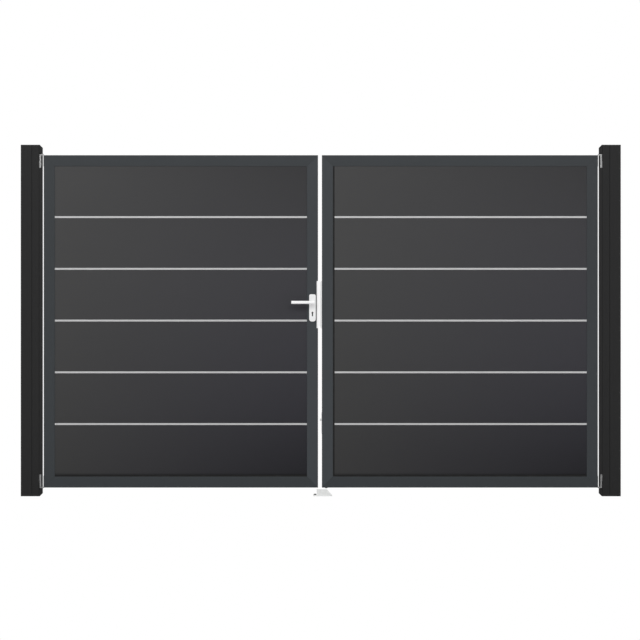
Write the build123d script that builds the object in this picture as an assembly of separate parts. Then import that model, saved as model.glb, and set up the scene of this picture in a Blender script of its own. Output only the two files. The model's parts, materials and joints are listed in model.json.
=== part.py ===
from build123d import *
import os

# Posts, caps and feet
POST_SIZE = 100.0
POST_WALL = 3.0
POST_EDGE_RADIUS = 3.0
POST_ABOVE_LEAF = 56.5
CAP_THICKNESS = 3.5
CAP_SKIRT = 18.0
FOOT_THICKNESS = 6.0
FOOT_SKIRT = 30.0
SKIRT_WALL = 3.0
SKIRT_FIT = 0.2
FACE_GROOVE_WIDTH = 3.0
FACE_GROOVE_DEPTH = 1.8

# Hinge rails on the inner faces of the posts
RAIL_WIDTH = 19.5
RAIL_CHAMFER = 17.0
RAIL_EDGE_BEVEL = 1.5
NOTCH_DEPTH = 30.0
NOTCH_HEADROOM = 5.0

# Hinges
AXIS_FROM_POST = 6.5
AXIS_FROM_FRONT = 6.0
BARREL_RADIUS = 5.5
PIN_RADIUS = 3.5
PIN_FIT = 0.1
FIXED_KNUCKLE = 36.5
LEAF_KNUCKLE = 36.7
KNUCKLE_GAP = 0.8
HINGE_BELOW_LEAF = 2.5
HINGE_ABOVE_LEAF = 6.0
HINGE_PLATE = 2.0
HINGE_PLATE_INSET = 7.5
HINGE_PLATE_DEPTH = 20.0
HINGE_PLATE_CORNER = 4.0
HINGE_TAB = 7.0
HINGE_TAB_WIDTH = 5.0
HINGE_FOOT_DEPTH = 22.0

# Leaves
LEAF_HEIGHT = 1800.0
LEAF_THICKNESS = 40.0
GROUND_GAP = 47.0
HINGE_GAP = 5.0
MEETING_GAP = 21.0
FRAME_WIDTH = 60.0
FRAME_WALL = 2.5
FRAME_EDGE_RADIUS = 2.0
CHANNEL_DEPTH = 15.0
CHANNEL_FIT = 0.3
END_FIT = 1.0

# Boards, strips and gaskets
BOARD_COUNT = 6
BOARD_LENGTH = 1365.0
BOARD_THICKNESS = 35.0
BOARD_EDGE_BEVEL = 1.2
BOARD_WALL = 3.0
CHAMBER_COUNT = 6
STRIP_FACE = 10.0
STRIP_WALL = 2.0
TONGUE_THICKNESS = 4.0
TONGUE_HEIGHT = 6.0
TONGUE_FIT = 0.5
GASKET_FACE = 9.0

# Lock on the left leaf
SPINDLE_HEIGHT = 1050.0
SPINDLE_SIZE = 8.0
LOCK_PLATE_WIDTH = 36.0
LOCK_PLATE_TOP = 44.0
LOCK_PLATE_BOTTOM = 104.0
LOCK_PLATE_THICKNESS = 8.0
LOCK_PLATE_TOP_RADIUS = 9.0
LOCK_PLATE_BOTTOM_RADIUS = 14.0
LOCK_PLATE_BEVEL = 1.5
KEY_DROP = 56.0
KEY_ROUND_RADIUS = 5.0
KEY_SLOT_WIDTH = 6.4
KEY_SLOT_DROP = 19.0
LOCK_POCKET_PLAY = 3.0
LEVER_RADIUS = 8.5
LEVER_LENGTH = 115.0
LEVER_STANDOFF = 42.0
LEVER_END_BEVEL = 2.0
LEVER_COLLAR_RADIUS = 12.5
LEVER_COLLAR = 5.0
LEVER_FIT = 0.4
SOCKET_DEPTH = 20.0
SOCKET_FIT = 0.1
FOREND_LENGTH = 256.0
FOREND_BELOW_SPINDLE = 140.0
FOREND_THICKNESS = 3.0
FOREND_LIP = 8.0
FOREND_LIP_THICKNESS = 2.0
KEEP_THICKNESS = 12.0
KEEP_WIDTH = 32.0
KEEP_LEAD_IN = 8.0
POCKET_WIDTH = 18.0
LATCH_POCKET = 34.0
BOLT_POCKET = 46.0
CASE_DEPTH = 40.0
CASE_THICKNESS = 16.0
CASE_ABOVE_SPINDLE = 40.0
CASE_BELOW_KEY = 45.0
CASE_PLAY = 1.0
HEAD_PLAY = 2.0
HEAD_GROOVE = 0.8
HEAD_GROOVE_DEPTH = 1.2

# Drop bolt on the right leaf
ROD_RADIUS = 7.0
ROD_INSET = 24.0
ROD_LENGTH = 386.0
ROD_PROUD = 3.0
ROD_TRAVEL = 35.0
ROD_FIT = 0.5
ROD_TIP_BEVEL = 2.0
KNOB_BELOW_TOP = 15.0
KNOB_STEM_RADIUS = 4.0
KNOB_RADIUS = 7.0
KNOB_HEAD = 4.0
KNOB_STANDOFF = 4.0
SLOT_FIT = 0.6
SLOT_PLATE_THICKNESS = 2.5
SLOT_PLATE_WIDTH = 24.0
SLOT_PLATE_MARGIN = 40.0
SLOT_PLATE_CORNER = 4.0

# Floor stop
STOP_CLEARANCE = 5.0
STOP_DEPTH = 60.0
STOP_TOP_LENGTH = 53.5
STOP_TOP_PAST_ROD = 1.75
STOP_RAMP = 30.0
STOP_TOE = 6.0
STOP_TAB_LENGTH = 18.0
STOP_TAB_THICKNESS = 8.0
STOP_CORNER_RADIUS = 4.0
STOP_FLOOR = 5.0
STOP_SOCKET_PLAY_X = 3.0
STOP_SOCKET_PLAY_Y = 6.0
ANCHOR_HOLE_RADIUS = 4.5
ANCHOR_SPACING = 36.0

# Positions that follow from the sizes
post_half = POST_SIZE / 2
rail_inner_x = post_half + RAIL_WIDTH
front_y = -post_half
leaf_back_y = front_y + LEAF_THICKNESS
leaf_mid_y = front_y + LEAF_THICKNESS / 2
leaf_bottom = GROUND_GAP
leaf_top = GROUND_GAP + LEAF_HEIGHT
post_height = leaf_top + POST_ABOVE_LEAF
left_x0 = rail_inner_x + HINGE_GAP
left_x1 = left_x0 + 2 * FRAME_WIDTH + BOARD_LENGTH
right_x0 = left_x1 + MEETING_GAP
right_x1 = right_x0 + 2 * FRAME_WIDTH + GASKET_FACE + BOARD_LENGTH
span_mid_x = (right_x1 + HINGE_GAP + RAIL_WIDTH + post_half) / 2
axis_x = post_half + AXIS_FROM_POST
axis_y = front_y + AXIS_FROM_FRONT
tab_y0 = axis_y - HINGE_TAB_WIDTH / 2
hinge_top = leaf_top + HINGE_ABOVE_LEAF
hinge_split = hinge_top - LEAF_KNUCKLE
hinge_base = hinge_split - KNUCKLE_GAP - FIXED_KNUCKLE
hinge_mid_z = (leaf_bottom - HINGE_BELOW_LEAF + hinge_top) / 2
channel_width = BOARD_THICKNESS + 2 * CHANNEL_FIT
board_face = (
    LEAF_HEIGHT - 2 * FRAME_WIDTH - (BOARD_COUNT - 1) * STRIP_FACE - GASKET_FACE
) / BOARD_COUNT
lock_x = left_x1 - FRAME_WIDTH / 2
lock_z = SPINDLE_HEIGHT
key_z = SPINDLE_HEIGHT - KEY_DROP
lock_reach = LEAF_THICKNESS / 2 + LOCK_PLATE_THICKNESS
forend_z0 = SPINDLE_HEIGHT - FOREND_BELOW_SPINDLE
forend_z1 = forend_z0 + FOREND_LENGTH
case_z0 = key_z - CASE_BELOW_KEY
case_z1 = lock_z + CASE_ABOVE_SPINDLE
spindle_swing = SPINDLE_SIZE / 2**0.5 + LEVER_FIT
rod_x = right_x0 + ROD_INSET
rod_bottom = leaf_bottom - ROD_PROUD
rod_top = rod_bottom + ROD_LENGTH
knob_z = rod_top - KNOB_BELOW_TOP
slot_half = KNOB_STEM_RADIUS + SLOT_FIT
stop_height = rod_bottom - STOP_CLEARANCE
stop_x0 = rod_x + STOP_TOP_PAST_ROD - STOP_TOP_LENGTH


def block(x0, x1, y0, y1, z0, z1):
    """Box between two corners."""
    return Pos((x0 + x1) / 2, (y0 + y1) / 2, (z0 + z1) / 2) * Box(x1 - x0, y1 - y0, z1 - z0)


def upright(x, y, z0, z1, radius):
    """Standing cylinder between two heights."""
    return Pos(x, y, (z0 + z1) / 2) * Cylinder(radius, z1 - z0)


def side_prism(points, y0, y1):
    """Outline given as x, z pairs, pushed from y0 to y1."""
    outline = make_face(Polyline(*[(x, y0, z) for x, z in points], close=True))
    return extrude(outline, amount=y1 - y0, dir=(0, 1, 0))


def to_right(shape):
    """The same piece on the other side of the gateway."""
    return mirror(shape, about=Plane.YZ.offset(span_mid_x))


def both_ends(shape):
    """A piece at the top of a leaf together with its mirror image at the bottom."""
    return [shape, mirror(shape, about=Plane.XY.offset(hinge_mid_z))]


def post_tube():
    """Square tube with a fine groove down the front, centred on post and rail together."""
    bore = POST_SIZE - 2 * POST_WALL
    groove_x = RAIL_WIDTH / 2
    reach = FACE_GROOVE_DEPTH
    groove = make_face(
        Polyline(
            (groove_x - FACE_GROOVE_WIDTH, front_y - reach),
            (groove_x + FACE_GROOVE_WIDTH, front_y - reach),
            (groove_x, front_y + reach),
            close=True,
        )
    )
    section = RectangleRounded(POST_SIZE, POST_SIZE, POST_EDGE_RADIUS) - Rectangle(bore, bore) - groove
    length = post_height - CAP_THICKNESS - FOOT_THICKNESS
    return Pos(0, 0, FOOT_THICKNESS) * extrude(section, amount=length)


def tube_end(z, thickness, skirt, downward):
    """Plate over one end of a tube, with a hollow skirt that pushes into the bore."""
    plate = extrude(RectangleRounded(POST_SIZE, POST_SIZE, POST_EDGE_RADIUS), amount=thickness)
    outer = POST_SIZE - 2 * POST_WALL - 2 * SKIRT_FIT
    inner = outer - 2 * SKIRT_WALL
    ring = extrude(Rectangle(outer, outer) - Rectangle(inner, inner), amount=skirt)
    lift = -skirt if downward else thickness
    return Pos(0, 0, z) * (plate + Pos(0, 0, lift) * ring)


def hinge_rail():
    """Flat bar beside the post, bevelled at both ends and notched for the hinges."""
    bevel = RAIL_CHAMFER
    outline = (
        (post_half, 0),
        (rail_inner_x - bevel, 0),
        (rail_inner_x, bevel),
        (rail_inner_x, post_height - bevel),
        (rail_inner_x - bevel, post_height),
        (post_half, post_height),
    )
    bar = side_prism(outline, front_y, leaf_back_y)
    corner = bar.edges().filter_by(Axis.Z).group_by(Axis.X)[-1].sort_by(Axis.Y)[0]
    bar = chamfer(corner, RAIL_EDGE_BEVEL)
    notch_back = front_y + NOTCH_DEPTH
    notch_top = hinge_top + NOTCH_HEADROOM
    for notch in both_ends(block(post_half, rail_inner_x, front_y, notch_back, hinge_base, notch_top)):
        bar -= notch
    return bar


def hinge_pin():
    """Fixed half of the upper hinge: foot on the post, knuckle and the pin above it."""
    top = hinge_base + FIXED_KNUCKLE
    knuckle = upright(axis_x, axis_y, hinge_base, top, BARREL_RADIUS)
    neck = block(post_half, axis_x, tab_y0, tab_y0 + HINGE_TAB_WIDTH, hinge_base, top)
    foot_back = tab_y0 + HINGE_FOOT_DEPTH
    foot = block(post_half, post_half + HINGE_PLATE, tab_y0, foot_back, hinge_base, top)
    return knuckle + neck + foot + upright(axis_x, axis_y, top, hinge_top - KNUCKLE_GAP, PIN_RADIUS)


def hinge_leaf():
    """Moving half of the upper hinge: knuckle, tab at its end and the plate on the edge of the leaf."""
    plate_x = left_x0 - HINGE_PLATE
    tab = block(axis_x, plate_x, tab_y0, tab_y0 + HINGE_TAB_WIDTH, hinge_top - HINGE_TAB, hinge_top)
    plate_z0 = hinge_base + HINGE_PLATE_INSET
    plate = block(plate_x, left_x0, tab_y0, tab_y0 + HINGE_PLATE_DEPTH, plate_z0, hinge_top)
    rear_corners = plate.edges().filter_by(Axis.X).group_by(Axis.Y)[-1]
    plate = chamfer(rear_corners, HINGE_PLATE_CORNER)
    knuckle = upright(axis_x, axis_y, hinge_split, hinge_top, BARREL_RADIUS)
    bore = upright(axis_x, axis_y, hinge_split, hinge_top, PIN_RADIUS + PIN_FIT)
    return knuckle + tab + plate - bore


def frame_section():
    """Frame extrusion: outer edge at zero, board channel on the inner edge, hollow chamber behind it."""
    body = Pos(FRAME_WIDTH / 2, 0) * RectangleRounded(FRAME_WIDTH, LEAF_THICKNESS, FRAME_EDGE_RADIUS)
    channel = Pos(FRAME_WIDTH - CHANNEL_DEPTH / 2, 0) * Rectangle(CHANNEL_DEPTH, channel_width)
    core = FRAME_WIDTH - CHANNEL_DEPTH - 2 * FRAME_WALL
    chamber = Pos(FRAME_WALL + core / 2, 0) * Rectangle(core, LEAF_THICKNESS - 2 * FRAME_WALL)
    return body - channel - chamber


def frame_member(origin, across, along, length, corners):
    """One side of a leaf frame, cut to the mitred outline in corners."""
    bar = extrude(Plane(origin=origin, x_dir=across, z_dir=along) * frame_section(), amount=length)
    return bar & side_prism(corners, front_y, leaf_back_y)


def leaf_frame(x0, x1):
    """Left stile, right stile, top rail and bottom rail of one leaf."""
    z0, z1 = leaf_bottom, leaf_top
    w = FRAME_WIDTH
    y = leaf_mid_y
    long_side, wide_side = z1 - z0, x1 - x0
    inside = ((x0 + w, z0 + w), (x1 - w, z0 + w), (x1 - w, z1 - w), (x0 + w, z1 - w))
    left = frame_member(
        (x0, y, z0), (1, 0, 0), (0, 0, 1), long_side, ((x0, z0), inside[0], inside[3], (x0, z1))
    )
    right = frame_member(
        (x1, y, z0), (-1, 0, 0), (0, 0, 1), long_side, ((x1, z0), (x1, z1), inside[2], inside[1])
    )
    top = frame_member(
        (x0, y, z1), (0, 0, -1), (1, 0, 0), wide_side, ((x0, z1), inside[3], inside[2], (x1, z1))
    )
    bottom = frame_member(
        (x0, y, z0), (0, 0, 1), (1, 0, 0), wide_side, ((x0, z0), (x1, z0), inside[1], inside[0])
    )
    return left, right, top, bottom


def across_leaf(section, x0, x1, z):
    """Section drawn in depth and height, run along the leaf from x0 to x1."""
    end = Plane(origin=(x0, leaf_mid_y, z), x_dir=(0, 1, 0), z_dir=(1, 0, 0))
    return extrude(end * section, amount=x1 - x0)


def board(x0, x1, z0, z1, housed):
    """Hollow board with a groove in each edge; a housed board is plain along the top."""
    height = z1 - z0
    section = Rectangle(BOARD_THICKNESS, height)
    section = chamfer(section.vertices(), BOARD_EDGE_BEVEL)
    groove_depth = TONGUE_HEIGHT + TONGUE_FIT
    groove = Rectangle(TONGUE_THICKNESS + TONGUE_FIT, 2 * groove_depth)
    section -= Pos(0, -height / 2) * groove
    if not housed:
        section -= Pos(0, height / 2) * groove
    usable = height - 2 * (groove_depth + BOARD_WALL)
    pitch = (usable + BOARD_WALL) / CHAMBER_COUNT
    chamber = Rectangle(BOARD_THICKNESS - 2 * BOARD_WALL, pitch - BOARD_WALL)
    for row in range(CHAMBER_COUNT):
        section -= Pos(0, -usable / 2 - BOARD_WALL / 2 + (row + 0.5) * pitch) * chamber
    return across_leaf(section, x0, x1, (z0 + z1) / 2)


def leaf_boards(x0, x1):
    """Boards from the top down, the first one housed in the top rail."""
    boards = []
    top = leaf_top - FRAME_WIDTH
    for row in range(BOARD_COUNT):
        z1 = top - row * (board_face + STRIP_FACE)
        housed = row == 0
        upper = z1 + CHANNEL_DEPTH - END_FIT if housed else z1
        boards.append(board(x0, x1, z1 - board_face, upper, housed))
    return boards


def leaf_strips(x0, x1):
    """Hollow metal strips between the boards, each with a tongue up and a tongue down."""
    section = Rectangle(BOARD_THICKNESS, STRIP_FACE)
    section += Rectangle(TONGUE_THICKNESS, STRIP_FACE + 2 * TONGUE_HEIGHT)
    section -= Rectangle(BOARD_THICKNESS - 2 * STRIP_WALL, STRIP_FACE - 2 * STRIP_WALL)
    strips = []
    for row in range(1, BOARD_COUNT):
        z = leaf_top - FRAME_WIDTH - row * (board_face + STRIP_FACE) + STRIP_FACE / 2
        strips.append(across_leaf(section, x0, x1, z))
    return Compound(children=strips)


def bottom_gasket(x0, x1):
    """Bar in the channel of the bottom rail, with a tongue that carries the lowest board."""
    y0 = leaf_mid_y - BOARD_THICKNESS / 2
    rail_top = leaf_bottom + FRAME_WIDTH
    seat = rail_top + GASKET_FACE
    bar = block(x0, x1, y0, y0 + BOARD_THICKNESS, rail_top - CHANNEL_DEPTH, seat)
    tongue_y = leaf_mid_y - TONGUE_THICKNESS / 2
    return bar + block(x0, x1, tongue_y, tongue_y + TONGUE_THICKNESS, seat, seat + TONGUE_HEIGHT)


def lock_plate():
    """Front escutcheon with rounded corners, lever hole and keyhole."""
    z0, z1 = lock_z - LOCK_PLATE_BOTTOM, lock_z + LOCK_PLATE_TOP
    y0 = front_y - LOCK_PLATE_THICKNESS
    half = LOCK_PLATE_WIDTH / 2
    plate = block(lock_x - half, lock_x + half, y0, front_y, z0, z1)
    corners = plate.edges().filter_by(Axis.Y).group_by(Axis.Z)
    plate = fillet(corners[-1], LOCK_PLATE_TOP_RADIUS)
    plate = fillet(plate.edges().filter_by(Axis.Y).group_by(Axis.Z)[0], LOCK_PLATE_BOTTOM_RADIUS)
    plate = chamfer(plate.faces().sort_by(Axis.Y)[0].edges(), LOCK_PLATE_BEVEL)
    keyhole = through_lock(KEY_SLOT_WIDTH / 2, key_z - KEY_SLOT_DROP, key_z)
    keyhole += across_stile(key_z, KEY_ROUND_RADIUS)
    return plate - across_stile(lock_z, LEVER_RADIUS + LEVER_FIT) - keyhole


def across_stile(z, radius):
    """Cylinder along the depth that passes through the leaf and both lock plates."""
    return Pos(lock_x, leaf_mid_y, z) * Rot(90, 0, 0) * Cylinder(radius, 2 * lock_reach)


def through_lock(half, z0, z1):
    """Upright window along the depth that passes through the leaf and both lock plates."""
    return block(lock_x - half, lock_x + half, leaf_mid_y - lock_reach, leaf_mid_y + lock_reach, z0, z1)


def to_rear(shape):
    """The same fitting on the rear face of the leaf."""
    return mirror(shape, about=Plane.XZ.offset(-leaf_mid_y))


def lever_arm():
    """Round lever: neck out of the plate, a mitred corner, then the grip with a bevelled end."""
    y_arm = front_y - LEVER_STANDOFF
    root = (lock_x, front_y, lock_z)
    path = Polyline(root, (lock_x, y_arm, lock_z), (lock_x - LEVER_LENGTH, y_arm, lock_z))
    profile = Plane(origin=root, z_dir=(0, -1, 0)) * Circle(LEVER_RADIUS)
    arm = sweep(profile, path=path, transition=Transition.RIGHT)
    arm = chamfer(arm.faces().sort_by(Axis.X)[0].edges(), LEVER_END_BEVEL)
    collar_y = front_y - LOCK_PLATE_THICKNESS - LEVER_FIT - LEVER_COLLAR / 2
    return arm + Pos(lock_x, collar_y, lock_z) * Rot(90, 0, 0) * Cylinder(LEVER_COLLAR_RADIUS, LEVER_COLLAR)


def square_bar(y0, y1, size):
    """Square bar along the depth on the lever axis."""
    half = size / 2
    return block(lock_x - half, lock_x + half, y0, y1, lock_z - half, lock_z + half)


def lock_forend():
    """Channel over the meeting edge with the lock case behind it; latch and bolt lie flush in grooves."""
    lip = FOREND_LIP_THICKNESS
    x0, x1 = left_x1 - FOREND_LIP, left_x1 + FOREND_THICKNESS
    forend = block(x0, x1, front_y - lip, leaf_back_y + lip, forend_z0, forend_z1)
    forend -= block(x0, left_x1, front_y, leaf_back_y, forend_z0, forend_z1)
    groove_x = x1 - HEAD_GROOVE_DEPTH
    for z, pocket in ((lock_z, LATCH_POCKET), (key_z, BOLT_POCKET)):
        head = lock_head(groove_x, x1, z, pocket, HEAD_PLAY)
        forend -= lock_head(groove_x, x1, z, pocket, HEAD_PLAY - HEAD_GROOVE) - head
    return forend + lock_case(CASE_DEPTH, 0) - across_stile(lock_z, spindle_swing)


def lock_case(depth, play):
    """Flat case that stands in the stile behind the forend, with some play all round."""
    half = CASE_THICKNESS / 2 + play
    z0, z1 = case_z0 - play, case_z1 + play
    return block(left_x1 - depth, left_x1, leaf_mid_y - half, leaf_mid_y + half, z0, z1)


def lock_head(x0, x1, z, pocket, play):
    """Block that stands in a pocket of the keep with some play all round."""
    half_y = POCKET_WIDTH / 2 - play
    half_z = pocket / 2 - play
    return block(x0, x1, leaf_mid_y - half_y, leaf_mid_y + half_y, z - half_z, z + half_z)


def lock_keep():
    """Block on the meeting edge of the right leaf with pockets for latch and bolt."""
    outer_x = right_x0 - KEEP_THICKNESS
    lead = KEEP_LEAD_IN
    outline = (
        (right_x0, forend_z0),
        (right_x0, forend_z1),
        (outer_x + lead, forend_z1),
        (outer_x, forend_z1 - lead),
        (outer_x, forend_z0 + lead),
        (outer_x + lead, forend_z0),
    )
    keep = side_prism(outline, leaf_mid_y - KEEP_WIDTH / 2, leaf_mid_y + KEEP_WIDTH / 2)
    for z, pocket in ((lock_z, LATCH_POCKET), (key_z, BOLT_POCKET)):
        keep -= lock_head(outer_x, right_x0, z, pocket, 0)
    return keep


def knob_way(x0, x1, margin):
    """Slot for the stem of the bolt knob along its travel."""
    half = slot_half + margin
    z0, z1 = knob_z - ROD_TRAVEL - slot_half, knob_z + slot_half
    return block(x0, x1, leaf_mid_y - half, leaf_mid_y + half, z0 - margin, z1 + margin)


def slot_plate():
    """Guide plate on the meeting edge of the right leaf, slotted for the knob."""
    half = SLOT_PLATE_WIDTH / 2
    z0 = knob_z - ROD_TRAVEL - SLOT_PLATE_MARGIN
    z1 = knob_z + SLOT_PLATE_MARGIN
    x0 = right_x0 - SLOT_PLATE_THICKNESS
    plate = block(x0, right_x0, leaf_mid_y - half, leaf_mid_y + half, z0, z1)
    plate = chamfer(plate.edges().filter_by(Axis.X), SLOT_PLATE_CORNER)
    return plate - knob_way(x0, right_x0, 0)


def knob_turning(x0, x1, radius):
    """Round piece of the knob between two places along the leaf."""
    return Pos((x0 + x1) / 2, leaf_mid_y, knob_z) * Rot(0, 90, 0) * Cylinder(radius, x1 - x0)


def drop_rod():
    """Bolt rod with a bevelled tip and the thumb knob on its side."""
    rod = upright(rod_x, leaf_mid_y, rod_bottom, rod_top, ROD_RADIUS)
    rod = chamfer(rod.edges().group_by(Axis.Z)[0], ROD_TIP_BEVEL)
    head_x = right_x0 - SLOT_PLATE_THICKNESS - KNOB_STANDOFF
    stem = knob_turning(head_x, rod_x, KNOB_STEM_RADIUS)
    return rod + stem + knob_turning(head_x - KNOB_HEAD, head_x, KNOB_RADIUS)


def floor_stop():
    """Block with a sloping side, a socket for the bolt and a tab with two anchor holes."""
    top_x1 = stop_x0 + STOP_TOP_LENGTH
    toe_x = top_x1 + STOP_RAMP
    outline = (
        (stop_x0, 0),
        (stop_x0, stop_height),
        (top_x1, stop_height),
        (toe_x, STOP_TOE),
        (toe_x, 0),
    )
    y0, y1 = leaf_mid_y - STOP_DEPTH / 2, leaf_mid_y + STOP_DEPTH / 2
    body = side_prism(outline, y0, y1)
    body = fillet(body.edges().filter_by(Axis.Z).group_by(Axis.X)[-1], STOP_CORNER_RADIUS)
    tab = block(stop_x0 - STOP_TAB_LENGTH, stop_x0, y0, y1, 0, STOP_TAB_THICKNESS)
    tab = fillet(tab.edges().filter_by(Axis.Z).group_by(Axis.X)[0], STOP_CORNER_RADIUS)
    for side in (-1, 1):
        y = leaf_mid_y + side * ANCHOR_SPACING / 2
        tab -= upright(stop_x0 - STOP_TAB_LENGTH / 2, y, 0, STOP_TAB_THICKNESS, ANCHOR_HOLE_RADIUS)
    half_x = ROD_RADIUS + STOP_SOCKET_PLAY_X
    half_y = ROD_RADIUS + STOP_SOCKET_PLAY_Y
    socket = block(
        rod_x - half_x, rod_x + half_x, leaf_mid_y - half_y, leaf_mid_y + half_y, STOP_FLOOR, stop_height
    )
    return body + tab - socket


nodes = {}
tube = post_tube()
cap = tube_end(post_height - CAP_THICKNESS, CAP_THICKNESS, CAP_SKIRT, True)
foot = tube_end(0, FOOT_THICKNESS, FOOT_SKIRT, False)
rail = hinge_rail()
pins = Compound(children=both_ends(hinge_pin()))
plates = Compound(children=both_ends(hinge_leaf()))
for label, piece in (
    ("post", tube),
    ("post_cap", cap),
    ("post_foot", foot),
    ("hinge_rail", rail),
    ("hinge_pins", pins),
    ("leaf_hinges", plates),
):
    nodes["left_" + label] = piece
    nodes["right_" + label] = to_right(piece)

hinge_stile, meeting_stile, top_rail, bottom_rail = leaf_frame(left_x0, left_x1)
pocket_half = LEVER_RADIUS + LOCK_POCKET_PLAY
pocket_z0 = key_z - KEY_SLOT_DROP - LOCK_POCKET_PLAY
meeting_stile -= through_lock(pocket_half, pocket_z0, lock_z + pocket_half)
meeting_stile -= lock_case(FRAME_WALL, CASE_PLAY)
nodes["left_hinge_stile"] = hinge_stile
nodes["left_meeting_stile"] = meeting_stile
nodes["left_top_rail"] = top_rail
nodes["left_bottom_rail"] = bottom_rail

meeting_stile, hinge_stile, top_rail, bottom_rail = leaf_frame(right_x0, right_x1)
meeting_stile -= knob_way(right_x0, rod_x, SLOT_FIT)
rod_hole = ROD_RADIUS + ROD_FIT
bottom_rail -= upright(rod_x, leaf_mid_y, leaf_bottom, leaf_bottom + FRAME_WALL, rod_hole)
nodes["right_hinge_stile"] = hinge_stile
nodes["right_meeting_stile"] = meeting_stile
nodes["right_top_rail"] = top_rail
nodes["right_bottom_rail"] = bottom_rail

tuck = CHANNEL_DEPTH - END_FIT
sight_x0 = left_x0 + FRAME_WIDTH
sight_x1 = sight_x0 + BOARD_LENGTH
for number, piece in enumerate(leaf_boards(sight_x0 - tuck, sight_x1 + tuck), 1):
    nodes[f"left_board_{number}"] = piece
nodes["left_strips"] = leaf_strips(sight_x0 - tuck, sight_x1 + tuck)
nodes["left_gasket"] = bottom_gasket(sight_x0, sight_x1)

side_x = right_x0 + FRAME_WIDTH
sight_x0 = side_x + GASKET_FACE
sight_x1 = sight_x0 + BOARD_LENGTH
for number, piece in enumerate(leaf_boards(sight_x0, sight_x1 + tuck), 1):
    nodes[f"right_board_{number}"] = piece
nodes["right_strips"] = leaf_strips(sight_x0, sight_x1 + tuck)
board_y0 = leaf_mid_y - BOARD_THICKNESS / 2
side_gasket = block(
    side_x - CHANNEL_DEPTH,
    sight_x0,
    board_y0,
    board_y0 + BOARD_THICKNESS,
    leaf_bottom + FRAME_WIDTH,
    leaf_top - FRAME_WIDTH,
)
nodes["right_gasket"] = side_gasket + bottom_gasket(sight_x0, sight_x1)

plate = lock_plate()
arm = lever_arm()
socket_end = leaf_back_y + SOCKET_DEPTH
nodes["front_lock_plate"] = plate
nodes["rear_lock_plate"] = to_rear(plate)
nodes["front_lever"] = arm + square_bar(front_y, socket_end, SPINDLE_SIZE)
nodes["rear_lever"] = to_rear(arm) - square_bar(leaf_back_y, socket_end, SPINDLE_SIZE + 2 * SOCKET_FIT)
nodes["lock_forend"] = lock_forend()
nodes["lock_keep"] = lock_keep()
nodes["drop_bolt_plate"] = slot_plate()
nodes["drop_bolt"] = drop_rod()
nodes["floor_stop"] = floor_stop()

os.makedirs("parts", exist_ok=True)
for name, shape in nodes.items():
    export_step(shape, f"parts/{name}.step")
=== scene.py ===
"""Looks of a double gate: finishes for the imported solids, smooth levers, fasteners, studio and camera."""
import json
import logging
import math
from dataclasses import dataclass, field, replace
from enum import Enum
from typing import Optional, Union

import bmesh
import bpy
import numpy as np
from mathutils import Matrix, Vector


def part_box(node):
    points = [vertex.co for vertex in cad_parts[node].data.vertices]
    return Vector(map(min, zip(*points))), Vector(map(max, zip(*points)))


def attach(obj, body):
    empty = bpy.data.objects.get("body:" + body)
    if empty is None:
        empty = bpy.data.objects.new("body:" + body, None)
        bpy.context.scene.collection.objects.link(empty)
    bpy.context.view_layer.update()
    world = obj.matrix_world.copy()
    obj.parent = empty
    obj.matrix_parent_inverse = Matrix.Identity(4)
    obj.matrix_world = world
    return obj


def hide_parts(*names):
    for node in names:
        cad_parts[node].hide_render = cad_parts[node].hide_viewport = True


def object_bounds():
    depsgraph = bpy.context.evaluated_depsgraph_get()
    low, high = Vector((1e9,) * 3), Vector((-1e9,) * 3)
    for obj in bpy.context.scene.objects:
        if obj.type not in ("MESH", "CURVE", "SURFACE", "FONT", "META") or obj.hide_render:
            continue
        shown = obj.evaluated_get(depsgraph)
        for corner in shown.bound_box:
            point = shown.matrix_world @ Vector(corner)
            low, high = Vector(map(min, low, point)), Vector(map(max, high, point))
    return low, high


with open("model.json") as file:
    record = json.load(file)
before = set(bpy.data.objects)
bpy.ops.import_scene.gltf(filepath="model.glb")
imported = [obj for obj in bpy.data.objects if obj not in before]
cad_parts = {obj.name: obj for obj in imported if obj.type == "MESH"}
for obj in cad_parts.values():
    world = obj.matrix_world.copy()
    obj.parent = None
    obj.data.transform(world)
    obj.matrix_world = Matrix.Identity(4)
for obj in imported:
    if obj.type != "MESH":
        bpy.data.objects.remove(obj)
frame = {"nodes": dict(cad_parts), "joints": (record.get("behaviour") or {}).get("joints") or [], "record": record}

LOG = logging.getLogger("gate")
MM = 0.001
CAD_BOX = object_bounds()

Triple = tuple[float, float, float]
Colour = Triple
Range = tuple[float, float]
Operand = Union["Value", float]
Feed = Union["Value", float, Triple]
SocketKey = Union[int, str]

BLACK: Colour = (0.0, 0.0, 0.0)
WHITE: Colour = (1.0, 1.0, 1.0)
BOARDS = 6


# Named choices


class Slot(Enum):
    """Material slots of the part."""

    POST_COATING = "post_coating"
    POST_END = "post_end"
    FRAME_COATING = "frame_coating"
    BOARD = "board"
    STRIP = "strip"
    GASKET = "gasket"
    HINGE_METAL = "hinge_metal"
    LOCK_METAL = "lock_metal"
    BOLT_METAL = "bolt_metal"
    STOP_COATING = "stop_coating"


class Body(Enum):
    """Bodies of the part that new pieces ride on."""

    POSTS = "posts"
    LEFT_LEAF = "left_leaf"
    RIGHT_LEAF = "right_leaf"
    LEVER = "lever"


class Axis(Enum):
    """Axes of the part: X to the right, Y to the rear, Z up."""

    X = "X"
    Y = "Y"
    Z = "Z"


class Place(Enum):
    """A place on the gate: its value is a direction along an axis, and its name starts its pieces' names."""

    @property
    def label(self) -> str:
        """Start of the names of its pieces."""
        return self.name.lower()


class Side(Place):
    """A side of the gateway: the sign of the way from its leaf to its post along X."""

    LEFT = -1
    RIGHT = 1

    @property
    def leaf(self) -> Body:
        """Body of its leaf."""
        return Body[f"{self.name}_LEAF"]


class Face(Place):
    """The face of a leaf that a fitting sits on: the sign of its outward direction along Y."""

    FRONT = -1
    REAR = 1


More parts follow.
